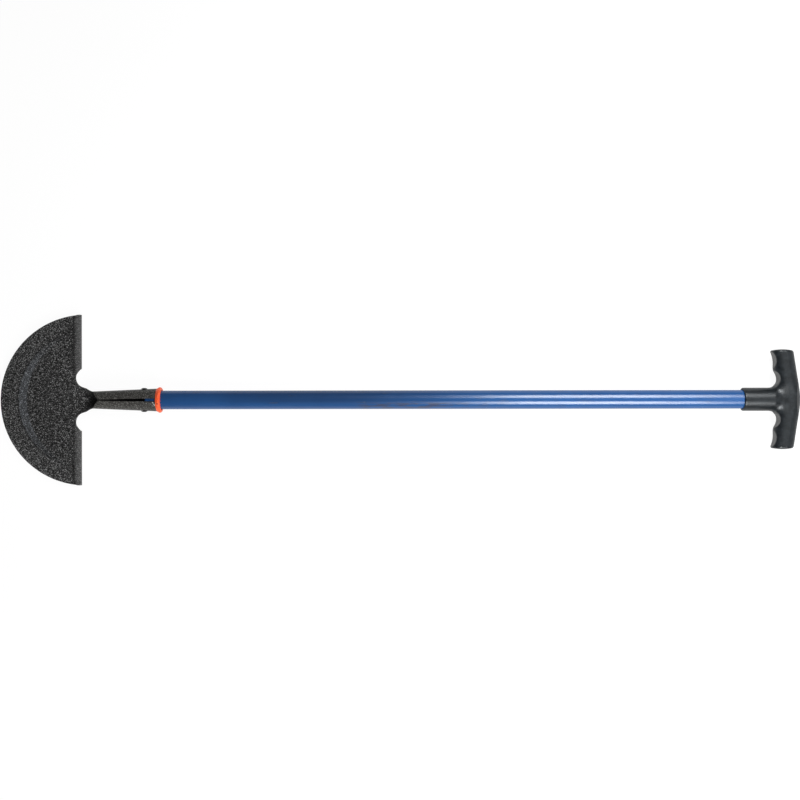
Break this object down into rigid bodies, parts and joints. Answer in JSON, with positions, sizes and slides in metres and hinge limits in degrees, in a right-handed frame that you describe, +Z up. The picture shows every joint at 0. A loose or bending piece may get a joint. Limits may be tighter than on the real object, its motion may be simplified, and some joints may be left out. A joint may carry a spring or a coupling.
{
  "type": "half moon edger",
  "caption": "Half moon lawn edger: pressed steel blade with folded treads, its rolled socket riveted to a painted tube with a collar ring and a moulded T grip.",
  "frame": {"origin": "middle of the box that the tool fills, on the surface that it lies on", "axes": "+X from the blade to the grip along the tube, +Z up on the side of the socket's open seam"},
  "size_m": [0.97, 0.2086, 0.0318],
  "materials": {
    "head_paint": "black hammer finish paint on pressed steel",
    "tube_paint": "gloss blue paint on steel tube",
    "collar_plastic": "orange moulded plastic, satin",
    "grip_plastic": "black moulded plastic, fine satin texture",
    "rivet_paint": "black paint over the rivet heads",
    "mandrel_steel": "bare broken steel",
    "screw_steel": "zinc plated"
  },
  "bodies": {
    "root": {"edger_head": "head_paint", "shaft_tube": "tube_paint", "collar_ring": "collar_plastic", "t_grip": "grip_plastic", "socket_rivets": "rivet_paint", "rivet_mandrels": "mandrel_steel", "grip_screw": "screw_steel"}
  },
  "joints": []
}
